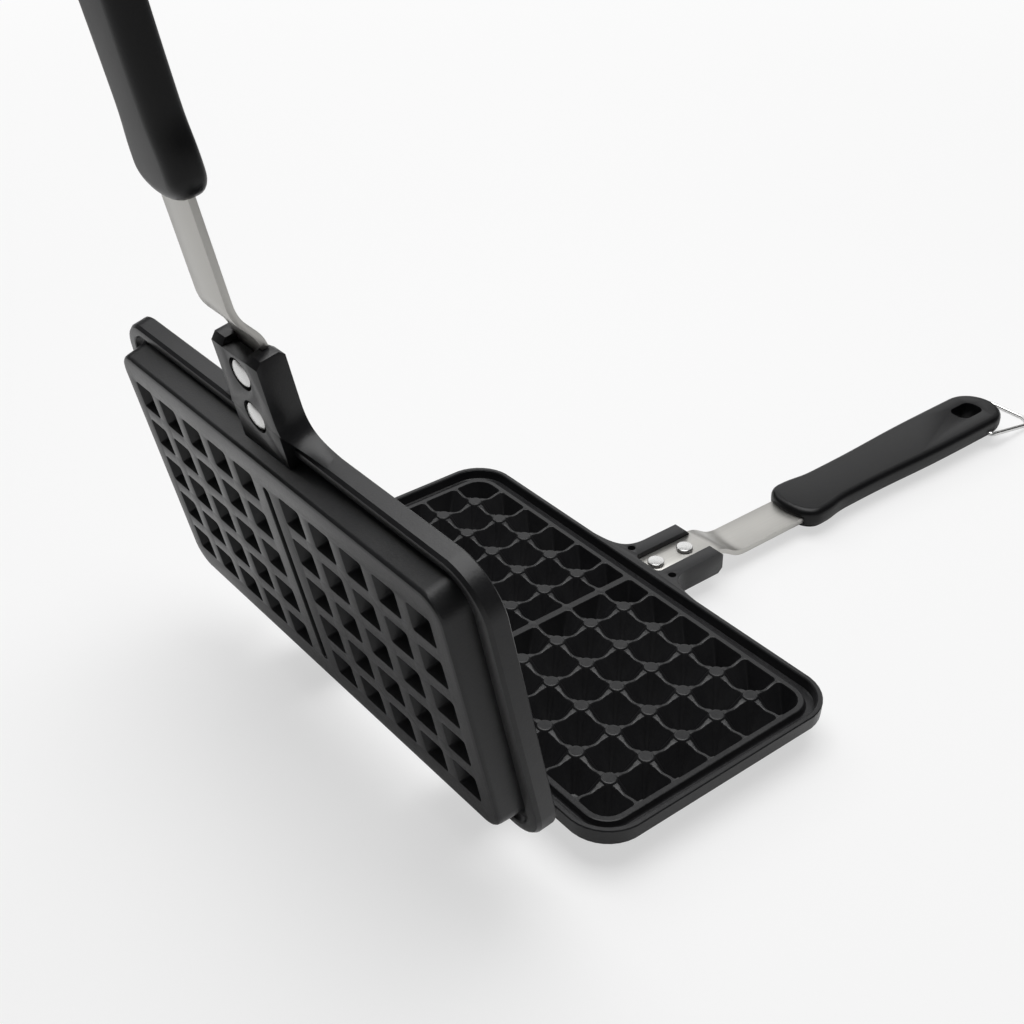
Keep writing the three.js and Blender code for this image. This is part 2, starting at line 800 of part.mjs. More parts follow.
function waffleIron() {
  const iron = new THREE.Group();
  const lower = half('lower', true);
  lower.position.set(0, -restY, plateDepth);
  iron.add(lower);

  const wire = namedMesh('wire_clasp', clasp(), brightSteel());
  wire.position.set(0, lipHalfY + gripFront + claspAt, -claspDepth);
  wire.rotation.x = -claspDroop;
  lower.add(wire);

  for (const [name, side] of [['hinge_pin_left', -1], ['hinge_pin_right', 1]]) {
    const pin = namedMesh(name, solidFrom(hingePin()), brightSteel());
    pin.position.set(side * jointCentreX, hingeY, 0);
    lower.add(pin);
  }

  const lid = new THREE.Group();
  lid.position.set(0, hingeY - restY, plateDepth);
  lid.rotation.x = openAngle;
  const upper = half('upper', false);
  upper.rotation.y = Math.PI;
  upper.position.set(0, -hingeY, 0);
  lid.add(upper);
  iron.add(lid);
  return iron;
}

export default waffleIron();
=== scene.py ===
# %% [markdown]
# # A hinged waffle iron for the stove top
#
# The iron is two equal aluminium castings on one hinge. Each has a handle made of a bent
# steel strap and a moulded grip, and a wire clasp holds the two grips together.
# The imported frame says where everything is; this file gives every piece its real surface.

# %% Load the frame
import json
import math

import bmesh
import bpy
from mathutils import Matrix, Vector


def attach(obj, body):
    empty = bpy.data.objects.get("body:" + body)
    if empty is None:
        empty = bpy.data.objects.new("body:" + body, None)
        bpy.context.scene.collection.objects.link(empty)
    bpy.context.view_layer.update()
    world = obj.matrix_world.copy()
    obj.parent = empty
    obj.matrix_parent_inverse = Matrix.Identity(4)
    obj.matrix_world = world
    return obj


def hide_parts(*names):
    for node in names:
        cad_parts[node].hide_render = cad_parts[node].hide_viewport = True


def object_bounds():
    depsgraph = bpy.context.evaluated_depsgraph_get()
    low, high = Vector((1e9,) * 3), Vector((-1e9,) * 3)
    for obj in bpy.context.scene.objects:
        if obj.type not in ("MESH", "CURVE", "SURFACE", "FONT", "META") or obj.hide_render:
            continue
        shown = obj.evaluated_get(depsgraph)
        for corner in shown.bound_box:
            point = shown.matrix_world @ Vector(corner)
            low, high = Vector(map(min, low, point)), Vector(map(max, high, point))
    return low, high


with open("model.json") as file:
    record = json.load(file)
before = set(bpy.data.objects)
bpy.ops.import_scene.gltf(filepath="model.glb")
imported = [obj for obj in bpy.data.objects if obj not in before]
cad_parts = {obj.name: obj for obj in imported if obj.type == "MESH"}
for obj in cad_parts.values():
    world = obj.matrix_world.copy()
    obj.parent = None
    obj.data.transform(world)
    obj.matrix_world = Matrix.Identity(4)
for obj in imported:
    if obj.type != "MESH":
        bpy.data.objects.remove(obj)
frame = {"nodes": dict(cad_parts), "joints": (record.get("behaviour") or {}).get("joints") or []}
cad_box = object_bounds()
print("nodes:", len(frame["nodes"]))

# %% [markdown]
# ## Two places for one casting
#
# Both plates come out of the same mould, so one casting is modelled, with its parting
# plane at z = 0 and its cooking side up, and set down twice. The lower one is only moved.
# The upper one is turned over and swung about the hinge by the 102 degrees at which its
# heels meet the lower plate. The hinge's place is read from the frame.

# %% Places of the two halves
MM = 0.001


def joint_place(name):
    return Vector(next(j for j in frame["joints"] if j["name"] == name)["pos_m"])


hinge_point = joint_place("lid_hinge")
open_angle = math.radians(102)
lip_half_y = 57.4 * MM
hinge_reach = 13.3 * MM
hinge_y = -(lip_half_y + hinge_reach)

lower_place = Matrix.Translation(hinge_point) @ Matrix.Translation((0, -hinge_y, 0))
upper_place = (
    Matrix.Translation(hinge_point)
    @ Matrix.Rotation(open_angle, 4, "X")
    @ Matrix.Translation((0, -hinge_y, 0))
    @ Matrix.Rotation(math.pi, 4, "Y")
)
halves = (("lower", lower_place), ("upper", upper_place))
print("opening angle:", round(math.degrees(open_angle)))

# %% [markdown]
# ## Writing materials as arithmetic
#
# A finish is a small graph of nodes. Wrapping a socket in a class lets the graph be
# written as a formula, which is easier to read and to change than a list of links.

# %% A value inside a material
class Value:
    """A socket that can be added to and multiplied: each step adds a Math node."""

    def __init__(self, graph, socket):
        self.graph = graph
        self.socket = socket

    def math(self, operation, *terms):
        node = self.graph.node("Math", {"operation": operation}, dict(enumerate(terms)))
        return Value(self.graph, node.outputs[0])

    def __add__(self, other):
        return self.math("ADD", self, other)

    def __mul__(self, other):
        return self.math("MULTIPLY", self, other)

    __radd__ = __add__
    __rmul__ = __mul__


print("a value can be added and multiplied")


# %% A graph of nodes
class Graph:
    """The nodes of a material or of the world, which are all made by one method."""

    def __init__(self, tree):
        self.tree = tree

    def node(self, kind, settings=None, sockets=None):
        node = self.tree.nodes.new("ShaderNode" + kind)
        for key, setting in (settings or {}).items():
            setattr(node, key, setting)
        for key, term in (sockets or {}).items():
            self.feed(node.inputs[key], term)
        return node

    def feed(self, socket, term):
        if isinstance(term, Value):
            term = term.socket
        if isinstance(term, bpy.types.NodeSocket):
            self.tree.links.new(term, socket)
        else:
            socket.default_value = term


class Finish(Graph):
    """One material and its Principled shader."""

    def __init__(self, name):
        self.material = bpy.data.materials.new(name)
        self.material.use_nodes = True
        super().__init__(self.material.node_tree)
        self.shader = self.tree.nodes["Principled BSDF"]

    def set(self, **sockets):
        for key, term in sockets.items():
            title = key.replace("_", " ").title().replace("Ior", "IOR")
            self.feed(self.shader.inputs[title], term)

    def noise(self, vector, scale, detail=2.0, roughness=0.5):
        sockets = {"Vector": vector, "Scale": scale, "Detail": detail, "Roughness": roughness}
        return Value(self, self.node("TexNoise", None, sockets).outputs[0])

    def ramp(self, value, low, high):
        sockets = {"Value": value, "From Min": low, "From Max": high}
        return Value(self, self.node("MapRange", {"clamp": True}, sockets).outputs[0])

    def mix(self, factor, first, second):
        node = self.node("Mix", {"data_type": "RGBA"}, {"Factor": factor})
        colours = [s for s in node.inputs if s.type == "RGBA"]
        self.feed(colours[0], (*first, 1.0))
        self.feed(colours[1], (*second, 1.0))
        return next(s for s in node.outputs if s.type == "RGBA")

    def bump(self, height, distance, strength):
        sockets = {"Height": height, "Distance": distance, "Strength": strength}
        return self.node("Bump", None, sockets).outputs["Normal"]

    def place(self, output="Object"):
        return self.node("TexCoord").outputs[output]

    def stretched(self, vector, scale):
        return self.node("Mapping", None, {"Vector": vector, "Scale": scale}).outputs[0]


print("material helper ready")

# %% [markdown]
# ## The coated casting
#
# The plates are die-cast aluminium under a sprayed black non-stick coat. The coat is
# satin: it has a fine orange-peel grain, and it is a little thinner and greyer in places.
# A cloud and a speck vary the grey and the gloss, and two finer noises make the grain.

# %% Non-stick coat
thick_coat, thin_coat = (0.010, 0.010, 0.011), (0.018, 0.018, 0.019)


def coated_casting():
    coat = Finish("non-stick coat on cast aluminium")
    place = coat.place()
    cloud = coat.ramp(coat.noise(place, scale=45.0, detail=3.0), low=0.3, high=0.7)
    speck = coat.ramp(coat.noise(place, scale=900.0, roughness=0.6), low=0.35, high=0.75)
    grain = coat.noise(place, scale=1500.0, detail=3.0, roughness=0.6)
    peel = coat.noise(place, scale=260.0)
    coat.set(
        base_color=coat.mix(cloud * 0.6 + speck * 0.4, thick_coat, thin_coat),
        roughness=cloud * 0.06 + speck * 0.05 + 0.28,
        ior=1.4,
        normal=coat.bump(grain * 0.55 + peel * 0.45, distance=0.00011, strength=0.55),
    )
    return coat.material


coat_finish = coated_casting()
print(coat_finish.name)

# %% [markdown]
# ## Steel strip and bright steel
#
# The straps are cut from rolled stainless strip: the rolling leaves fine lines along the
# length. A UV map in metres, laid along each strap, makes the lines follow the strip
# through its bend. Rivets, pins and wire are smooth drawn steel with only slight wear.

# %% Steel finishes
strip_low, strip_high = (0.46, 0.45, 0.43), (0.60, 0.59, 0.56)
bright_low, bright_high = (0.66, 0.66, 0.65), (0.80, 0.80, 0.79)
rolling_lines = (1800.0, 25.0, 1.0)


def rolled_strip():
    steel = Finish("rolled stainless strip")
    along = steel.stretched(steel.place("UV"), rolling_lines)
    lines = steel.noise(along, scale=1.0, detail=3.0, roughness=0.55)
    patch = steel.noise(steel.place(), scale=60.0)
    steel.set(
        base_color=steel.mix(lines * 0.7 + patch * 0.3, strip_low, strip_high),
        metallic=1.0,
        roughness=lines * 0.12 + patch * 0.08 + 0.27,
        normal=steel.bump(lines, distance=0.00003, strength=0.35),
    )
    return steel.material


def bright_steel():
    steel = Finish("bright steel")
    haze = steel.noise(steel.place(), scale=380.0, detail=3.0)
    steel.set(
        base_color=steel.mix(haze, bright_low, bright_high),
        metallic=1.0,
        roughness=haze * 0.12 + 0.20,
        normal=steel.bump(haze, distance=0.00003, strength=0.3),
    )
    return steel.material


strip_finish = rolled_strip()
bright_finish = bright_steel()
print(strip_finish.name, "and", bright_finish.name)

# %% [markdown]
# ## Moulded grip
#
# The grips are black thermoset, moulded round the tang in a lightly blasted tool, so the
# skin is satin with a very fine grain and almost no colour change.

# %% Grip plastic
plastic_low, plastic_high = (0.003, 0.003, 0.0035), (0.006, 0.006, 0.0065)


def grip_plastic():
    plastic = Finish("black moulded grip")
    place = plastic.place()
    cloud = plastic.noise(place, scale=70.0)
    grain = plastic.noise(place, scale=1300.0, detail=3.0, roughness=0.65)
    plastic.set(
        base_color=plastic.mix(cloud, plastic_low, plastic_high),
        roughness=cloud * 0.06 + grain * 0.05 + 0.29,
        ior=1.34,
        normal=plastic.bump(grain, distance=0.00008, strength=0.4),
    )
    return plastic.material


plastic_finish = grip_plastic()
print(plastic_finish.name)

# %% [markdown]
# ## Making and placing pieces
#
# A piece is drawn in the frame of its casting and then moved, mesh and all, to its place,
# so that the finished object sits at the origin as the frame asks. What both halves have
# is drawn once and set down twice.

# %% Piece helpers
smooth_below = math.radians(26)


def linked(name, data):
    made = bpy.data.objects.new(name, data)
    bpy.context.scene.collection.objects.link(made)
    return made


def shaded(mesh):
    for face in mesh.polygons:
        face.use_smooth = True
    mesh.set_sharp_from_angle(angle=smooth_below)
    return mesh


def piece(name, mesh, place, finish, body, node):
    mesh.transform(place)
    mesh.materials.clear()
    mesh.materials.append(finish)
    made = linked(name, shaded(mesh))
    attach(made, body)
    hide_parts(node)
    print(name, len(mesh.polygons), "faces")


def pair(name, mesh, finish, node, slot):
    """The same piece on the lower half and on the upper one."""
    for half, place in halves:
        piece(f"{half}_{name}", mesh.copy(), place, finish, half, f"{half}_{node}")
    bpy.data.meshes.remove(mesh)


def mesh_from(bm, name):
    bmesh.ops.recalc_face_normals(bm, faces=bm.faces)
    mesh = bpy.data.meshes.new(name)
    bm.to_mesh(mesh)
    bm.free()
    return mesh


print("piece helpers ready")

# %% Cutting and rounding
round_above = math.radians(35)


def applied(made):
    """The mesh of an object with its modifiers, or its bevel, applied."""
    bpy.context.view_layer.update()
    graph = bpy.context.evaluated_depsgraph_get()
    return bpy.data.meshes.new_from_object(made.evaluated_get(graph))


def carved(mesh, cutters, rounding):
    """The mesh after a list of (operation, cutter mesh), with its edges rounded."""
    base = linked("carved", mesh)
    tools = [base]
    for operation, cutter in cutters:
        tools.append(linked("cutter", cutter))
        cut = base.modifiers.new("cut", "BOOLEAN")
        cut.operation = operation
        cut.object = tools[-1]
        cut.solver = "EXACT"
    soften = base.modifiers.new("soften", "BEVEL")
    soften.width = rounding
    soften.segments = 2
    soften.limit_method = "ANGLE"
    soften.angle_limit = round_above
    result = applied(base)
    for tool in tools:
        old = tool.data
        bpy.data.objects.remove(tool)
        bpy.data.meshes.remove(old)
    return result


print("edges steeper than", round(math.degrees(round_above)), "degrees are rounded")

# %% Outlines and sweeps
up = (0, 0, 1)


def quarter_turn(steps):
    return [math.pi / 2 * i / steps for i in range(steps + 1)]


def disc(x, y, radius, sides, z=0.0):
    turns = [2 * math.pi * i / sides for i in range(sides)]
    return [(x + radius * math.cos(t), y + radius * math.sin(t), z) for t in turns]


def rectangle(x0, x1, y0, y1):
    return [(x0, y0, 0), (x1, y0, 0), (x1, y1, 0), (x0, y1, 0)]


def bezier(points, steps):
    a, b, c, d = (Vector(p) for p in points)
    shares = [i / steps for i in range(steps + 1)]
    return [a * (1 - t) ** 3 + b * 3 * t * (1 - t) ** 2 + c * 3 * t * t * (1 - t) + d * t ** 3
            for t in shares]


def sweep(bm, face, along):
    swept = bmesh.ops.extrude_face_region(bm, geom=[face], use_keep_orig=True)
    moved = [v for v in swept["geom"] if isinstance(v, bmesh.types.BMVert)]
    bmesh.ops.translate(bm, verts=moved, vec=along)


def prism(outline, axis, start, length):
    """A closed outline of points swept straight along an axis."""
    bm = bmesh.new()
    face = bm.faces.new([bm.verts.new(point) for point in outline])
    bmesh.ops.translate(bm, verts=bm.verts, vec=Vector(axis) * start)
    sweep(bm, face, Vector(axis) * length)
    return mesh_from(bm, "prism")


print("outline helpers ready")

# %% [markdown]
# ## The casting's ladder of rounded rectangles
#
# Seen from the rim inward, the casting is a stack of rounded rectangles: ridge, gutter,
# lip, flange, the groove round the back and the block. A circle whose quarters are pushed
# apart is a rounded rectangle, and extruding one ring to the next makes every wall. This
# keeps the same number of points all the way, so all the corners run cleanly.

# %% Rings and ladders
corner_points, slot_points, hole_points = 9, 5, 6


def rounded_ring(bm, half_x, half_y, radius, depth, points):
    sides = 4 * points
    half_step = math.pi / sides
    made = bmesh.ops.create_circle(bm, radius=radius / math.cos(half_step), segments=sides)
    verts = made["verts"]
    bmesh.ops.rotate(bm, verts=verts, matrix=Matrix.Rotation(half_step, 3, "Z"))
    for vert in verts:
        vert.co.x += math.copysign(half_x - radius, vert.co.x)
        vert.co.y += math.copysign(half_y - radius, vert.co.y)
        vert.co.z = -depth
    return list({edge for vert in verts for edge in vert.link_edges})


def next_ring(bm, ring, here, there):
    """Extrudes a ring of edges and carries each point to its own place on the next ring."""
    made = bmesh.ops.extrude_edge_only(bm, edges=ring)["geom"]
    verts = [item for item in made if isinstance(item, bmesh.types.BMVert)]
    for vert in verts:
        side_x, side_y = math.copysign(1, vert.co.x), math.copysign(1, vert.co.y)
        ray_x = (vert.co.x - side_x * (here[0] - here[2])) / here[2]
        ray_y = (vert.co.y - side_y * (here[1] - here[2])) / here[2]
        vert.co = (side_x * (there[0] - there[2]) + ray_x * there[2],
                   side_y * (there[1] - there[2]) + ray_y * there[2], -there[3])
    fresh = set(verts)
    edges = [item for item in made if isinstance(item, bmesh.types.BMEdge)]
    return [edge for edge in edges if fresh.issuperset(edge.verts)]


def ladder(bm, levels, points):
    """Rings joined by walls: returns the first ring and the last one."""
    levels = [[v * MM for v in level] for level in levels]
    first = ring = rounded_ring(bm, *levels[0], points)
    for here, there in zip(levels, levels[1:]):
        ring = next_ring(bm, ring, here, there)
    return first, ring


# half width, half length, corner radius, depth below the parting plane, all in mm
ridge_to_block = [
    (98.0, 50.3, 9.4, 2.0), (98.3, 50.6, 9.7, 2.15), (98.5, 50.8, 9.9, 2.6),
    (98.9, 51.2, 10.3, 4.0), (99.3, 51.6, 10.7, 4.4), (101.9, 54.1, 13.6, 4.4),
    (102.4, 54.6, 14.1, 4.0), (102.95, 55.15, 14.7, 0.4), (103.35, 55.55, 15.1, 0.0),
    (104.8, 57.0, 16.6, 0.0), (105.15, 57.35, 17.0, 0.4), (104.85, 57.05, 16.7, 5.6),
    (104.0, 56.2, 15.8, 6.8), (103.4, 55.6, 15.2, 7.0), (99.2, 53.6, 11.0, 7.0),
    (98.8, 53.2, 10.6, 6.7), (98.3, 52.7, 10.2, 5.3), (98.0, 52.4, 9.9, 5.0),
    (96.9, 51.7, 10.3, 5.0), (96.5, 51.3, 9.9, 5.3), (95.9, 50.7, 9.6, 7.0),
    (95.2, 50.0, 9.1, 13.3), (94.97, 49.77, 8.9, 14.15), (94.5, 49.3, 8.5, 14.7),
    (93.9, 48.7, 7.9, 14.93), (93.2, 48.0, 7.3, 15.0),
]
print("rings in the ladder:", len(ridge_to_block))

# %% [markdown]
# ## The waffle grid
#
# Batter fills deep cells between round studs. Fins join the studs, high beside each stud
# and lower half way, and a ridge frames each waffle. Each cell's mouth is drawn as one
# outline that bends round its studs, and pushing that outline down and inward step by
# step gives the cell its rounded rim, sloped walls and small floor.

# %% Grid sizes
pitch = 17 * MM
first_stud = 14.07 * MM
stud_columns, stud_rows = 5, 5
divider_half = 1.35 * MM
ridge_x, ridge_y = 96.25 * MM, 48.55 * MM
frame_corner, ridge_corner = 7.65 * MM, 1.5 * MM
ridge_depth, fin_depth = 2.0 * MM, 3.1 * MM
fin_half, fin_flare = 0.32 * MM, 1.05 * MM
stud_shoulder, stud_edge = 1.75 * MM, 1.3 * MM
stud_radius, stud_root, stud_sides = 2.9 * MM, 3.2 * MM, 24
cell_depth = 12.5 * MM
fin_inset, ridge_inset = 5.85 * MM, 3.3 * MM
# how far it takes for one height or width to turn into the next
ridge_blend, fin_blend, flare_blend, rim_blend = 6 * MM, 5.3 * MM, 3.0 * MM, 1.2 * MM

stud_xs = [first_stud + pitch * i for i in range(stud_columns)]
stud_ys = [pitch * (i - (stud_rows - 1) / 2) for i in range(stud_rows)]
studs = [(side * x, y) for side in (-1, 1) for x in stud_xs for y in stud_ys]
print("studs:", len(studs), "cells:", 2 * (stud_columns + 1) * (stud_rows + 1))


# %% Height of the crests
def smooth(share):
    share = min(max(share, 0.0), 1.0)
    return share * share * (3 - 2 * share)


def from_stud(x, y):
    return min(math.hypot(abs(x) - sx, y - sy) for sx in stud_xs for sy in stud_ys)


def crest_depth(x, y):
    """Depth of the ridge, fin or stud shoulder at a point between the cells."""
    x = abs(x)
    to_ridge = max(min(x - divider_half, ridge_x - x, ridge_y - abs(y)), 0.0)
    fin = ridge_depth + (fin_depth - ridge_depth) * smooth((to_ridge - ridge_corner) / ridge_blend)
    away = smooth((from_stud(x, y) - stud_root) / fin_blend)
    return stud_shoulder + (fin - stud_shoulder) * away


def fin_edge(distance):
    """Half width of a fin's crest, which flares where it joins a stud."""
    return fin_half + (fin_flare - fin_half) * (1 - smooth((distance - stud_root) / flare_blend))


print("fin crest half way:", round(crest_depth(first_stud + pitch / 2, 0) / MM, 2), "mm deep")

# %% Corner of one cell
side_steps, arc_steps = 8, 5


def corner_arc(line_x, x, line_y, y, dx, dy):
    """Points round a stud, or round a corner of the ridge, starting on the side along X."""
    (stud_x, ridge_on_x), (stud_y, ridge_on_y) = line_x, line_y
    if not ridge_on_x and not ridge_on_y:
        start = math.asin(fin_flare / stud_root)
        turns = [start + (math.pi / 2 - 2 * start) * i / arc_steps for i in range(arc_steps + 1)]
        return [(stud_x + dx * stud_root * math.cos(t), stud_y + dy * stud_root * math.sin(t))
                for t in turns]
    in_frame = ridge_on_x and ridge_on_y and stud_x > divider_half
    radius = frame_corner if in_frame else ridge_corner
    return [(x + dx * radius * (1 - math.sin(t)), y + dy * radius * (1 - math.cos(t)))
            for t in quarter_turn(arc_steps)]


print("steps round a corner:", arc_steps)


# %% Outline of one cell
def cell_edge(line, inward):
    """Where a mouth starts beside a line of the grid, and how far in its floor starts."""
    at, is_ridge = line
    if is_ridge:
        return at, inward * ridge_inset
    return at + inward * fin_half, inward * fin_inset


def cell_outline(left, right, near, far):
    """Mouth points, each with its point on the floor's edge, counted round the cell."""
    (x0, in_x0), (x1, in_x1) = cell_edge(left, 1), cell_edge(right, -1)
    (y0, in_y0), (y1, in_y1) = cell_edge(near, 1), cell_edge(far, -1)
    corners = []
    for line_x, x, line_y, y, dx, dy in (
        (left, x0, near, y0, 1, 1), (right, x1, near, y0, -1, 1),
        (right, x1, far, y1, -1, -1), (left, x0, far, y1, 1, -1),
    ):
        arc = corner_arc(line_x, x, line_y, y, dx, dy)
        # every second arc is turned round, so that the walk keeps going one way
        corners.append(arc if dx * dy < 0 else arc[::-1])
    walk = []
    for side, arc in enumerate(corners):
        walk.extend(arc)
        (ax, ay), (bx, by) = arc[-1], corners[(side + 1) % 4][0]
        line, is_ridge = (near, right, far, left)[side]
        inward = 1 if side in (0, 3) else -1
        for i in range(1, side_steps):
            x, y = ax + (bx - ax) * i / side_steps, ay + (by - ay) * i / side_steps
            if not is_ridge and side in (0, 2):
                y = line + inward * fin_edge(from_stud(x, line))
            elif not is_ridge:
                x = line + inward * fin_edge(from_stud(line, y))
            walk.append((x, y))
    floor_x0, floor_x1, floor_y0, floor_y1 = x0 + in_x0, x1 + in_x1, y0 + in_y0, y1 + in_y1
    return [((x, y), (floor_x0 + (floor_x1 - floor_x0) * (x - x0) / (x1 - x0),
                      floor_y0 + (floor_y1 - floor_y0) * (y - y0) / (y1 - y0))) for x, y in walk]


# each line of the grid is its place and whether a ridge, not a fin, stands on it
across = [(divider_half, True)] + [(x, False) for x in stud_xs] + [(ridge_x, True)]
along = [(-ridge_y, True)] + [(y, False) for y in stud_ys] + [(ridge_y, True)]
print("points round a cell:", len(cell_outline(across[1], across[2], along[1], along[2])))


# %% Loops and the steps down into a hollow
def loop(bm, points):
    verts = [bm.verts.new(point) for point in points]
    edges = [bm.edges.new((a, b)) for a, b in zip(verts, verts[1:] + verts[:1])]
    return verts, edges


def step_down(bm, face, places):
    """Pushes a face on, its corners going to the given places."""
    made = bmesh.ops.extrude_discrete_faces(bm, faces=[face])["faces"][0]
    for vert, place in zip(made.verts, places):
        vert.co = place
    return made


# share of the way from the mouth to the floor: across, and down
cell_steps = [
    (0.028, 0.006), (0.05, 0.018), (0.068, 0.038), (0.93, 0.93), (0.985, 0.982), (1.1, 1.0),
]
# up to this share across, a step belongs to the rounded rim
rim_share = 0.9
# radius and depth of a stud's rounded top, in mm
stud_steps = [(2.75, 1.14), (2.55, 1.04), (2.3, 1.0), (2.0, 1.0)]


def sink_cell(bm, verts, homes):
    face = bm.faces.new(verts)
    for inward, downward in cell_steps:
        places = []
        for mouth, floor_point in homes:
            top = crest_depth(*mouth)
            down = downward
            if inward < rim_share:
                by_stud = 1 - smooth((from_stud(*mouth) - stud_root) / rim_blend)
                down = downward + (inward - downward) * by_stud
            x = mouth[0] + (floor_point[0] - mouth[0]) * inward
            y = mouth[1] + (floor_point[1] - mouth[1]) * inward
            places.append(Vector((x, y, -(top + (cell_depth - top) * down))))
        face = step_down(bm, face, places)


def raise_stud(bm, verts, x, y):
    face = bm.faces.new(verts)
    for radius, depth in stud_steps:
        share = radius * MM / stud_radius
        places = [Vector((x + (v.co.x - x) * share, y + (v.co.y - y) * share, -depth * MM))
                  for v in verts]
        face = step_down(bm, face, places)


print("steps down a cell:", len(cell_steps))

# %% [markdown]
# ## Joining the cells
#
# Between the mouths lies one skin of ridges, fins and stud shoulders. A plain fill would
# lay long triangles across the dip of a fin and leave dark slits there. So the two mouths
# that face each other over a fin are bridged first, row by row, and only the rest is
# filled.

# %% Cooking side
def mouth_side(verts, side):
    """The points of one side of a cell's mouth, from the end of one arc to the next arc."""
    first = side * (arc_steps + side_steps) + arc_steps
    return [verts[(first + i) % len(verts)] for i in range(side_steps + 1)]


def bridge_fin(bm, edges, here, there):
    """Joins the facing sides of two mouths by the fin's crest."""
    rows = [[bm.edges.get(pair) for pair in zip(row, row[1:])] for row in (here, there)]
    bmesh.ops.bridge_loops(bm, edges=rows[0] + rows[1])
    edges.difference_update(rows[0] + rows[1])
    ends = ((here[0], there[-1]), (here[-1], there[0]))
    edges.update(bm.edges.get(end) for end in ends)


def cooking_side(bm, rim_edges):
    edges = set(rim_edges)
    mouths, tops = {}, []
    for side in (-1, 1):
        for column, (left, right) in enumerate(zip(across, across[1:])):
            for row, (near, far) in enumerate(zip(along, along[1:])):
                homes = [((side * mx, my), (side * fx, fy))
                         for (mx, my), (fx, fy) in cell_outline(left, right, near, far)]
                verts, ring = loop(bm, [(x, y, -crest_depth(x, y)) for (x, y), _ in homes])
                edges.update(ring)
                mouths[side, column, row] = (verts, homes)
    for (side, column, row), (verts, _) in mouths.items():
        if row < stud_rows:
            beyond = mouths[side, column, row + 1][0]
            bridge_fin(bm, edges, mouth_side(verts, 2), mouth_side(beyond, 0))
        if column < stud_columns:
            beside = mouths[side, column + 1, row][0]
            bridge_fin(bm, edges, mouth_side(verts, 1), mouth_side(beside, 3))
    for x, y in studs:
        verts, ring = loop(bm, disc(x, y, stud_radius, stud_sides, -stud_edge))
        edges.update(ring)
        tops.append((verts, x, y))
    # a set has no order of its own, so the edges are sorted before the fill
    bm.edges.index_update()
    crest = sorted(edges, key=lambda edge: edge.index)
    bmesh.ops.triangle_fill(bm, use_beauty=True, edges=crest, normal=(0, 0, 1))
    for verts, homes in mouths.values():
        sink_cell(bm, verts, homes)
    for verts, x, y in tops:
        raise_stud(bm, verts, x, y)


print("cooking side ready")

# %% [markdown]
# ## The outer side
#
# Behind each stud the casting is hollowed by a square pocket, which keeps the wall even
# so that the metal cools and heats evenly. A long slot does the same behind the divider.

# %% Pockets and slot
plate_depth = 15 * MM
pocket_half, pocket_corner, pocket_arc = 6.0 * MM, 1.2 * MM, 3
# half width, corner radius and how far up into the casting, in mm
pocket_steps = [(5.75, 1.1, 0.12), (5.6, 1.05, 0.45), (2.55, 0.8, 8.3), (2.1, 0.6, 8.6)]
# the slot, as half width, half length, end radius and depth, in mm
slot_levels = [
    (1.9, 39, 1.9, 15.0), (1.7, 38.8, 1.7, 14.85), (1.6, 38.7, 1.6, 14.5), (1.0, 38.1, 1.0, 7.2),
]


def pocket_points(x, y, half, radius, depth):
    points = []
    for quarter in range(4):
        diagonal = math.pi / 2 * quarter + math.pi / 4
        centre_x = x + math.copysign(half - radius, math.cos(diagonal))
        centre_y = y + math.copysign(half - radius, math.sin(diagonal))
        for step in range(pocket_arc + 1):
            turn = math.pi / 2 * (quarter + step / pocket_arc)
            points.append(Vector((centre_x + radius * math.cos(turn),
                                  centre_y + radius * math.sin(turn), -depth)))
    return points


def outer_side(bm, rim_edges):
    edges = list(rim_edges)
    mouths = []
    for x, y in studs:
        verts, ring = loop(bm, pocket_points(x, y, pocket_half, pocket_corner, plate_depth))
        edges.extend(ring)
        mouths.append((verts, x, y))
    slot, slot_floor = ladder(bm, slot_levels, slot_points)
    edges.extend(slot)
    bmesh.ops.triangle_fill(bm, use_beauty=True, edges=edges, normal=(0, 0, -1))
    for verts, x, y in mouths:
        face = bm.faces.new(verts)
        for half, radius, reach in pocket_steps:
            places = pocket_points(x, y, half * MM, radius * MM, plate_depth - reach * MM)
            face = step_down(bm, face, places)
    bmesh.ops.contextual_create(bm, geom=slot_floor)


print("outer side ready")

# %% [markdown]
# ## Knuckles and bracket
#
# Each hinge joint has a knuckle of either plate, side by side on one pin. A heel on the
# knuckle meets the other plate when the iron is open and stops it. The bracket is an open
# channel with tall walls that flares into the flange where the load comes in.

# %% Knuckle
barrel = 6 * MM
arm_depth = 5.5 * MM
knuckle_length, knuckle_root, knuckle_round = 14.6 * MM, 1 * MM, 0.6 * MM
joint_x, joint_gap = 49 * MM, 0.4 * MM
heel_reach, heel_back, heel_front = 13.0 * MM, 5.1 * MM, 0.5 * MM
front_steps, back_steps = 10, 12


def knuckle(start):
    def heel(reach, back):
        turn = open_angle
        return (start, hinge_y + reach * math.cos(turn) - back * math.sin(turn),
                reach * math.sin(turn) + back * math.cos(turn))

    def rim(turn):
        return (start, hinge_y + barrel * math.cos(turn), barrel * math.sin(turn))

    root = hinge_y + hinge_reach + knuckle_root
    front = open_angle + math.asin(heel_front / barrel)
    back = open_angle + math.asin(heel_back / barrel)
    outline = [(start, root, 0.0)]
    outline += [rim(front * i / front_steps) for i in range(front_steps + 1)]
    outline += [heel(heel_reach, heel_front), heel(heel_reach, heel_back)]
    outline += [rim(back + (1.5 * math.pi - back) * i / back_steps) for i in range(back_steps + 1)]
    outline += [(start, root, -arm_depth)]
    return carved(prism(outline, (1, 0, 0), 0, knuckle_length), [], knuckle_round)


knuckle_starts = (-joint_x + joint_gap / 2, joint_x + joint_gap / 2)
print("knuckles start at", [round(s / MM, 1) for s in knuckle_starts])

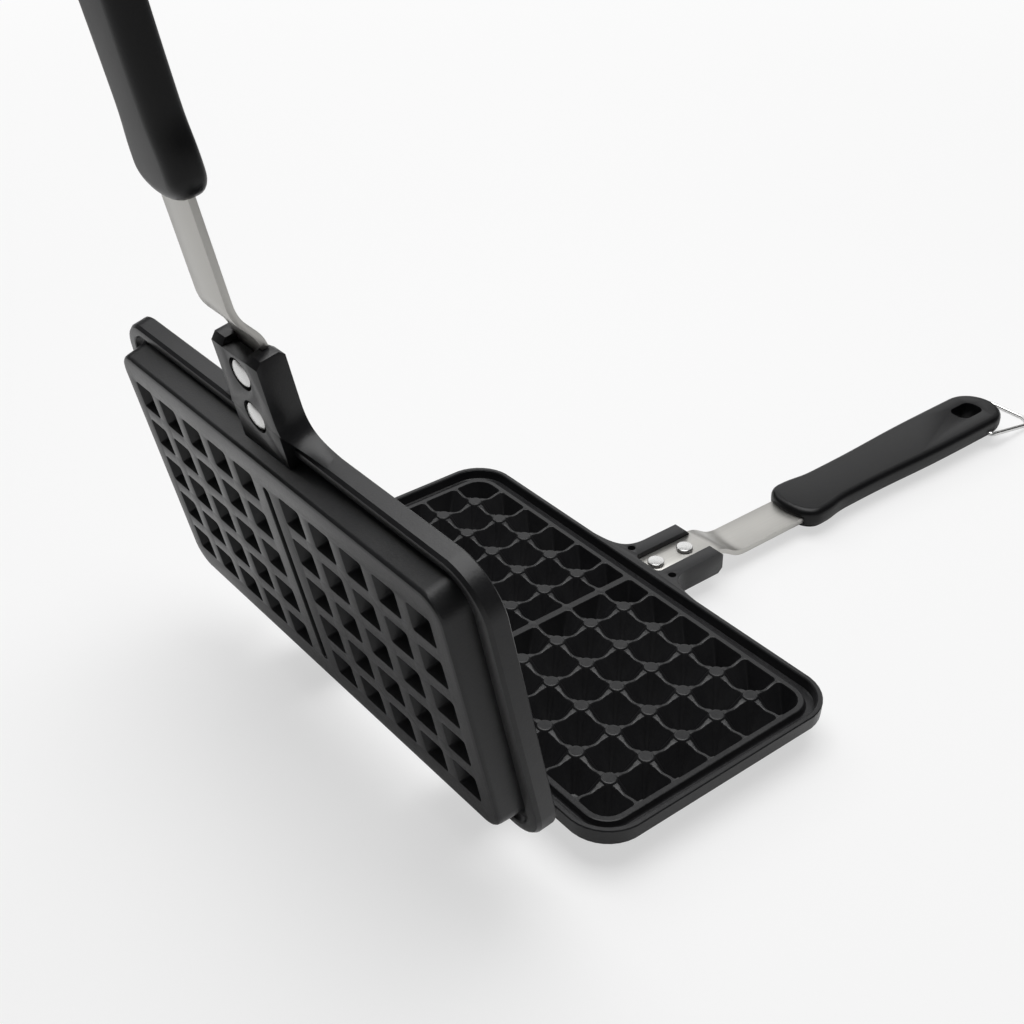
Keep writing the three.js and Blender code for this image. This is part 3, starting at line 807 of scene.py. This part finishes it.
# %% Bracket sizes
overrun = 1 * MM
bracket_root, bracket_end = lip_half_y - 0.95 * MM, lip_half_y + 32.2 * MM
bracket_half, bracket_root_half = 13.3 * MM, 36 * MM
bracket_depth, bracket_round = 10.2 * MM, 0.45 * MM
# the flare: where its curve starts and ends past the lip, and how hard it leans out
flare_tuck, flare_low, flare_high, flare_run = 0.8 * MM, 0.3 * MM, 1.2 * MM, 13 * MM
flare_lean, flare_steps = 7 * MM, 20
# the side view: the root's dip, the end's two slopes, and the foot under the flange
root_dip, root_depth, root_cover = 0.02 * MM, 5.7 * MM, 0.5 * MM
end_slope, end_foot, foot_slope, foot_start = 1.8 * MM, 8.2 * MM, 2.2 * MM, 6 * MM
keel_spare, keel_lift, keel_height = 0.25 * MM, 0.01 * MM, 5.3 * MM
keel_start, keel_end = 48.9 * MM, lip_half_y + 5.9 * MM
channel_half, channel_depth, channel_start = 7 * MM, 5 * MM, lip_half_y + 1.5 * MM
channel_corner, channel_steps, cut_height = 2 * MM, 5, 9 * MM
rivet_reach = (6.9 * MM, 23 * MM)
recess_radius, recess_sides, recess_height = 5.75 * MM, 32, 3.5 * MM
flange_hole_x, flange_hole_y = 12.1 * MM, lip_half_y + 4.4 * MM
flange_hole_radius, flange_hole_sides = 1.7 * MM, 20
flange_hole_depth, flange_hole_height = 4 * MM, 6 * MM
print("bracket reaches", round(bracket_end / MM, 1), "mm from the centre")


# %% Bracket
def bracket_plan():
    right = bezier([(bracket_root_half, lip_half_y - flare_tuck, 0),
                    (bracket_half + flare_lean, lip_half_y + flare_low, 0),
                    (bracket_half, lip_half_y + flare_high, 0),
                    (bracket_half, lip_half_y + flare_run, 0)], flare_steps)
    plan = [Vector((bracket_root_half, bracket_root, 0))] + right
    plan += [Vector((bracket_half, bracket_end, 0))]
    return plan + [Vector((-p.x, p.y, 0)) for p in reversed(plan)]


def bracket_profile():
    side = [(bracket_root - overrun, -root_dip), (bracket_end - end_slope, 0),
            (bracket_end, -end_slope), (bracket_end, -end_foot),
            (bracket_end - foot_slope, -bracket_depth), (lip_half_y + foot_start, -bracket_depth),
            (lip_half_y - root_cover, -root_depth), (bracket_root - overrun, -root_depth)]
    outline = [(-bracket_root_half - overrun, y, z) for y, z in side]
    return prism(outline, (1, 0, 0), 0, 2 * bracket_root_half + 2 * overrun)


def channel_plan():
    left = [(-channel_half + channel_corner * (1 - math.cos(t)),
             channel_start + channel_corner * (1 - math.sin(t)), 0)
            for t in quarter_turn(channel_steps)]
    open_end = bracket_end + 2 * overrun
    plan = [(channel_half, open_end, 0), (-channel_half, open_end, 0)] + left
    return plan + [(-x, y, z) for x, y, z in reversed(left)]


def bracket():
    below = -bracket_depth - 2 * overrun
    keel_half = bracket_half + keel_spare
    keel = rectangle(-keel_half, keel_half, keel_start, keel_end)
    end_cut = rectangle(-channel_half, channel_half, bracket_end - foot_slope,
                        bracket_end + 2 * overrun)
    cuts = [("INTERSECT", bracket_profile()),
            ("UNION", prism(keel, up, -bracket_depth + keel_lift, keel_height)),
            ("DIFFERENCE", prism(channel_plan(), up, -channel_depth, cut_height)),
            ("DIFFERENCE", prism(end_cut, up, below, cut_height))]
    for reach in rivet_reach:
        recess = disc(0, lip_half_y + reach, recess_radius, recess_sides)
        cuts.append(("DIFFERENCE", prism(recess, up, below, recess_height)))
    for hand in (-1, 1):
        hole = disc(hand * flange_hole_x, flange_hole_y, flange_hole_radius, flange_hole_sides)
        cuts.append(("DIFFERENCE", prism(hole, up, -flange_hole_depth, flange_hole_height)))
    body = prism(bracket_plan(), up, -bracket_depth - overrun, bracket_depth + 2 * overrun)
    return carved(body, cuts, bracket_round)


print("rivet recesses in the bracket:", len(rivet_reach))

# %% [markdown]
# ## One casting from its parts
#
# The body, both knuckles and the bracket are one casting on the real iron. Here they are
# closed shells that run into each other in one mesh, which keeps the fine grid out of the
# booleans. The finished casting is then set down twice.

# %% The whole casting, twice
same_point = 1e-7


def casting():
    bm = bmesh.new()
    rim, block_face = ladder(bm, ridge_to_block, corner_points)
    cooking_side(bm, rim)
    outer_side(bm, block_face)
    bmesh.ops.recalc_face_normals(bm, faces=bm.faces)
    for extra in [knuckle(start) for start in knuckle_starts] + [bracket()]:
        bm.from_mesh(extra)
        bpy.data.meshes.remove(extra)
    bmesh.ops.dissolve_degenerate(bm, dist=same_point, edges=bm.edges)
    mesh = bpy.data.meshes.new("casting")
    bm.to_mesh(mesh)
    bm.free()
    return mesh


pair("casting", casting(), coat_finish, "plate", "coated_casting")

# %% [markdown]
# ## Straps
#
# A strap is one strip of steel. Its end is cut to a narrow tongue that lies in the
# bracket's channel. It then steps outward in a gentle S, so that the hand clears the hot
# plates, and runs on inside the grip as a tang.

# %% Strap
fit_gap, both_gaps = 0.3 * MM, 0.6 * MM
strap_half, strap_thick, strap_round = 9 * MM, 2.4 * MM, 0.35 * MM
strap_depth = channel_depth - fit_gap - strap_thick
strap_step, strap_bend_steps = 6.5 * MM, 20
strap_start = lip_half_y + 1.8 * MM
strap_bend = (lip_half_y + 31 * MM, lip_half_y + 51 * MM)
strap_end = lip_half_y + 186 * MM


def strap_bar():
    middle = sum(strap_bend) / 2
    near, far = -strap_depth, -strap_depth - strap_step
    bend = bezier([(0, strap_bend[0], near), (0, middle, near), (0, middle, far),
                   (0, strap_bend[1], far)], strap_bend_steps)
    top = [Vector((0, strap_start, near))] + bend + [Vector((0, strap_end, far))]
    under = [p - Vector((0, 0, strap_thick)) for p in top]
    return prism(top + under[::-1], (1, 0, 0), -strap_half, 2 * strap_half)


def strap():
    tongue, shoulder = channel_half - fit_gap, bracket_end + fit_gap
    sides = []
    for hand in (-1, 1):
        plan = rectangle(hand * tongue, hand * (strap_half + 2 * overrun),
                         strap_start - 2 * overrun, shoulder)
        cutter = prism(plan, up, -bracket_depth, bracket_depth + 2 * overrun)
        sides.append(("DIFFERENCE", cutter))
    mesh = carved(strap_bar(), sides, strap_round)
    uv = mesh.uv_layers.new(name="along")
    for corner in mesh.loops:
        place = mesh.vertices[corner.vertex_index].co
        uv.data[corner.index].uv = (place.x + place.z, place.y)
    return mesh


pair("strip", strap(), strip_finish, "strap", "steel_strap")

# %% [markdown]
# ## Rivets and hinge pins
#
# Round fastenings are turned shapes: half a profile, spun once about its axis. Profiles
# are written in mm, as radius and height.

# %% Turned pieces
merge_within = 1e-6


def turned(profile, name, steps=40):
    bm = bmesh.new()
    verts = [bm.verts.new((r * MM, 0, z * MM)) for r, z in profile]
    edges = [bm.edges.new(ends) for ends in zip(verts, verts[1:])]
    bmesh.ops.spin(bm, geom=verts + edges, cent=(0, 0, 0), axis=(0, 0, 1), angle=2 * math.pi,
                   steps=steps, use_merge=True, use_duplicate=False)
    bmesh.ops.remove_doubles(bm, verts=bm.verts, dist=merge_within)
    return mesh_from(bm, name)


def dome(radius, edge, base, height, steps=6):
    """Profile of a low domed head from its rim to its top."""
    points = [(radius, base), (radius, base + edge)]
    for turn in quarter_turn(steps)[1:]:
        points.append((radius * math.cos(turn), base + edge + (height - edge) * math.sin(turn)))
    points[-1] = (0.0, base + height)
    return points


print("turned pieces ready")

# %% Rivets
shank, seat_gap, recess_floor = 2.5, 0.3, 1.5
inner_seat = -(strap_depth / MM) + seat_gap
outer_seat = -(bracket_depth / MM - recess_floor + seat_gap)
# radius and rise of the small head that the rivet was closed to
closed_head = [(3.5, 0.0), (3.5, 0.9), (3.42, 1.15), (3.2, 1.32), (2.8, 1.39), (0.0, 1.4)]

rivet_head = dome(radius=4.8, edge=0.45, base=outer_seat, height=1.9)
rivet_profile = [(r, 2 * outer_seat - z) for r, z in reversed(rivet_head)]
rivet_profile += [(shank, outer_seat), (shank, inner_seat)]
rivet_profile += [(r, inner_seat + rise) for r, rise in closed_head]
rivet_mesh = turned(rivet_profile, "rivet")
for half, place in halves:
    for spot, reach in zip(("inner", "outer"), rivet_reach):
        seat = place @ Matrix.Translation((0, lip_half_y + reach, 0))
        piece(f"{half}_rivet_{spot}", rivet_mesh.copy(), seat, bright_finish, half,
              f"{half}_strap_rivet_{spot}")
bpy.data.meshes.remove(rivet_mesh)

# %% Hinge pins
pin_half, pin_radius = 15.2, 2.5
pin_head = dome(radius=3.5, edge=0.35, base=pin_half, height=1.1)
pin_profile = [(r, -z) for r, z in reversed(pin_head)]
pin_profile += [(pin_radius, -pin_half), (pin_radius, pin_half)] + pin_head
pin_mesh = turned(pin_profile, "pin")
pin_mesh.transform(Matrix.Rotation(math.pi / 2, 4, "Y"))
for hand, side in (("left", -1), ("right", 1)):
    seat = lower_place @ Matrix.Translation((side * joint_x, hinge_y, 0))
    piece(f"pin_{hand}", pin_mesh.copy(), seat, bright_finish, "lower",
          f"hinge_pin_{hand}")
bpy.data.meshes.remove(pin_mesh)

# %% [markdown]
# ## Grips
#
# The grip is drawn as its outline in plan, with a blunt front, a slight waist for the
# fingers and a round end. Sweeping it through its thickness and bevelling both rims gives
# the moulded body; the hanging hole and the mouth for the strap are then cut out of it.

# %% Grip outline
grip_length, grip_thick = 144 * MM, 10.8 * MM
grip_half, grip_waist = 13.9 * MM, 12.2 * MM
grip_front_y, grip_front_depth, grip_rise = lip_half_y + 83.6 * MM, 4.7 * MM, 1.2 * MM
grip_place = Matrix.Translation((0, grip_front_y, -grip_front_depth)) @ Matrix.Rotation(
    math.atan(grip_rise / grip_length), 4, "X")
# the pull of the front corner, then where the grip is full, narrowest and widest
front_corner, bulb, waist, widest = 3 * MM, 10 * MM, 30 * MM, 108 * MM
front_steps, bulb_steps, waist_steps, end_steps = 16, 12, 16, 18


def grip_outline():
    lead, middle = (bulb + waist) / 2, (waist + widest) / 2
    side = bezier([(0, 0, 0), (grip_half / 2, 0, 0), (grip_half, front_corner, 0),
                   (grip_half, bulb, 0)], front_steps)
    side += bezier([(grip_half, bulb, 0), (grip_half, lead, 0), (grip_waist, lead, 0),
                    (grip_waist, waist, 0)], bulb_steps)[1:]
    side += bezier([(grip_waist, waist, 0), (grip_waist, middle, 0), (grip_half, middle, 0),
                    (grip_half, widest, 0)], waist_steps)[1:]
    end = grip_length - grip_half
    side += [Vector((grip_half * math.cos(t), end + grip_half * math.sin(t), 0))
             for t in quarter_turn(end_steps)]
    return side + [Vector((-p.x, p.y, 0)) for p in reversed(side[1:-1])]


print("points round a grip:", len(grip_outline()))

# %% Grip body, hole and mouth
inner_round, outer_round, mouth_round = 3.0 * MM, 6.0 * MM, 0.5 * MM
inner_segments, outer_segments = 6, 9
hole_half_x, hole_half_y, hole_corner, hole_y = 5.2 * MM, 7.6 * MM, 4 * MM, 126 * MM
mouth_overrun = 3 * MM
on_face = 1e-6


def grip_body():
    bm = bmesh.new()
    face = bm.faces.new([bm.verts.new(p) for p in grip_outline()])
    sweep(bm, face, (0, 0, -grip_thick))
    bmesh.ops.recalc_face_normals(bm, faces=bm.faces)
    inner = [e for e in bm.edges if all(v.co.z > -on_face for v in e.verts)]
    bmesh.ops.bevel(bm, geom=inner, offset=inner_round, segments=inner_segments, profile=0.5,
                    affect="EDGES", material=-1)
    outer = [e for e in bm.edges if all(v.co.z < -grip_thick + on_face for v in e.verts)]
    bmesh.ops.bevel(bm, geom=outer, offset=outer_round, segments=outer_segments, profile=0.5,
                    affect="EDGES", material=-1)
    mesh = mesh_from(bm, "grip")
    mesh.transform(grip_place)
    return mesh


def hanging_hole():
    bm = bmesh.new()
    rings = [rounded_ring(bm, hole_half_x, hole_half_y, hole_corner, depth, hole_points)
             for depth in (-2 * overrun, grip_thick + 2 * overrun)]
    bmesh.ops.bridge_loops(bm, edges=rings[0] + rings[1])
    for ring in rings:
        bmesh.ops.contextual_create(bm, geom=ring)
    bmesh.ops.translate(bm, verts=bm.verts, vec=(0, hole_y, 0))
    mesh = mesh_from(bm, "hole")
    mesh.transform(grip_place)
    return mesh


def strap_mouth():
    half = strap_half + fit_gap
    plan = rectangle(-half, half, grip_front_y - mouth_overrun, strap_end + fit_gap)
    top = -strap_depth - strap_step
    return prism(plan, up, top - strap_thick - fit_gap, strap_thick + both_gaps)


def grip():
    cuts = [("DIFFERENCE", hanging_hole()), ("DIFFERENCE", strap_mouth())]
    return carved(grip_body(), cuts, mouth_round)


pair("handgrip", grip(), plastic_finish, "grip", "grip_plastic")

# %% [markdown]
# ## Wire clasp
#
# The clasp is one bent wire. Its feet turn in the sides of the lower grip, and its
# rounded end slips over the end of the other grip to hold the iron shut.

# %% Clasp
wire_radius = 1 * MM
clasp_leg, clasp_reach, clasp_bend = 15.2 * MM, 36 * MM, 9 * MM
foot_bend, foot_length = 2.2 * MM, 4.2 * MM
foot_steps, bend_steps = 8, 12
clasp_droop = math.radians(10.5)


def clasp_path():
    half = [Vector((clasp_leg - foot_length, 0, 0))]
    half += [Vector((clasp_leg - foot_bend + foot_bend * math.sin(t),
                     foot_bend - foot_bend * math.cos(t), 0))
             for t in quarter_turn(foot_steps)]
    half += [Vector((clasp_leg - clasp_bend + clasp_bend * math.cos(t),
                     clasp_reach - clasp_bend + clasp_bend * math.sin(t), 0))
             for t in quarter_turn(bend_steps)]
    return half + [Vector((-p.x, p.y, 0)) for p in reversed(half)]


def wire_mesh():
    curve = bpy.data.curves.new("wire", "CURVE")
    curve.dimensions = "3D"
    spline = curve.splines.new("POLY")
    points = clasp_path()
    spline.points.add(len(points) - 1)
    for target, point in zip(spline.points, points):
        target.co = (*point, 1.0)
    curve.bevel_depth = wire_radius
    curve.bevel_resolution = 4
    curve.use_fill_caps = True
    temporary = linked("wire", curve)
    mesh = applied(temporary)
    bpy.data.objects.remove(temporary)
    bpy.data.curves.remove(curve)
    return mesh


clasp_place = (
    Matrix.Translation(joint_place("clasp_pivot")) @ Matrix.Rotation(-clasp_droop, 4, "X")
)
piece("bent_wire_clasp", wire_mesh(), clasp_place, bright_finish, "clasp", "wire_clasp")

# %% [markdown]
# ## Studio
#
# A pale floor, a white surround and large soft lamps: the lamps are big, so that the
# satin black shows broad, quiet reflections instead of hard spots. The clasp hangs below
# the plate's rest face, so the floor lies at the iron's lowest point and doesn't cut it.
# The camera sees the floor and the surround whitened, the floor more so with distance.
# For light and reflections on the iron the floor is plain paper and the surround a faint
# grey, so the whitening adds no light to it.

# %% Floor
floor_half = 6.0
paper_grey = (0.82, 0.82, 0.82, 1.0)
white = (1, 1, 1, 1)
white_near, white_more_far = 0.6, 0.4
near_ends, far_starts = 0.45, 1.3


def floor():
    bm = bmesh.new()
    bmesh.ops.create_grid(bm, x_segments=1, y_segments=1, size=floor_half)
    bmesh.ops.translate(bm, verts=bm.verts, vec=(0, 0, cad_box[0][2]))
    mesh = mesh_from(bm, "floor")
    paper = Finish("pale paper")
    paper.set(base_color=paper_grey, roughness=0.95)
    seen = Value(paper, paper.node("LightPath").outputs["Is Camera Ray"])
    reach = paper.node("VectorMath", {"operation": "LENGTH"}, {0: paper.place()}).outputs["Value"]
    far_away = paper.ramp(reach, near_ends, far_starts)
    glow = paper.node("Emission", None, {"Color": white, "Strength": 1.0})
    whiteness = seen * (far_away * white_more_far + white_near)
    both = paper.node("MixShader", None,
                      {0: whiteness, 1: paper.shader.outputs[0], 2: glow.outputs[0]})
    paper.feed(paper.tree.nodes["Material Output"].inputs["Surface"], both.outputs[0])
    mesh.materials.append(paper.material)
    linked("floor", mesh)


floor()
print("floor at", round(cad_box[0][2] / MM, 2), "mm")

# %% Surround
surround_strength = 0.05


def surround():
    world = bpy.data.worlds.new("surround")
    bpy.context.scene.world = world
    world.use_nodes = True
    world.node_tree.nodes.clear()
    sky = Graph(world.node_tree)
    path = sky.node("LightPath").outputs
    seen = sky.node("Math", {"operation": "MAXIMUM"},
                    {0: path["Is Camera Ray"], 1: path["Is Transmission Ray"]})
    plain, bright = (sky.node("Background", None, {"Color": white, "Strength": strength})
                     for strength in (surround_strength, 1.0))
    both = sky.node("MixShader", None,
                    {0: seen.outputs[0], 1: plain.outputs[0], 2: bright.outputs[0]})
    sky.node("OutputWorld", None, {"Surface": both.outputs[0]})


surround()
print("surround set")


# %% Lamps
def lamp(name, place, size, power):
    light = bpy.data.lights.new(name, "AREA")
    light.shape = "RECTANGLE"
    light.size, light.size_y = size
    light.energy = power
    made = linked(name, light)
    made.location = place
    toward_iron = Vector(middle_of_iron) - Vector(place)
    made.rotation_euler = toward_iron.to_track_quat("-Z", "Y").to_euler()


middle_of_iron = (0.0, -0.02, 0.06)
lamp("wide lamp above", place=(-0.1, 0.1, 1.4), size=(1.3, 1.3), power=21)
lamp("back screen", place=(-1.1, 0.9, 0.75), size=(1.4, 0.9), power=4)
lamp("left screen", place=(-1.4, -0.15, 1.3), size=(0.9, 0.8), power=4)
lamp("side screen", place=(-0.2, 1.5, 0.9), size=(1.0, 0.9), power=1)
print("lamps set")

# %% [markdown]
# ## Camera
#
# The camera stands where the picture of the iron was taken from: in front of the lower
# handle's side, about thirty degrees above the table, close enough for strong perspective.

# %% Camera
azimuth, elevation, roll = math.radians(51.82), math.radians(31.29), math.radians(-0.46)
camera_data = bpy.data.cameras.new("camera")
camera_data.lens = 53.44
camera_data.sensor_width = 36
camera_data.shift_y = -0.0605
camera_data.clip_start = 0.01
camera = linked("camera", camera_data)
camera.location = (0.3614, -0.3380, 0.3747)
aim = Matrix.Rotation(azimuth, 3, "Z") @ Matrix.Rotation(math.pi / 2 - elevation, 3, "X")
camera.rotation_euler = (aim @ Matrix.Rotation(roll, 3, "Z")).to_euler()
bpy.context.scene.camera = camera
bpy.context.scene.view_settings.view_transform = "Standard"
print("camera at", [round(v, 3) for v in camera.location])
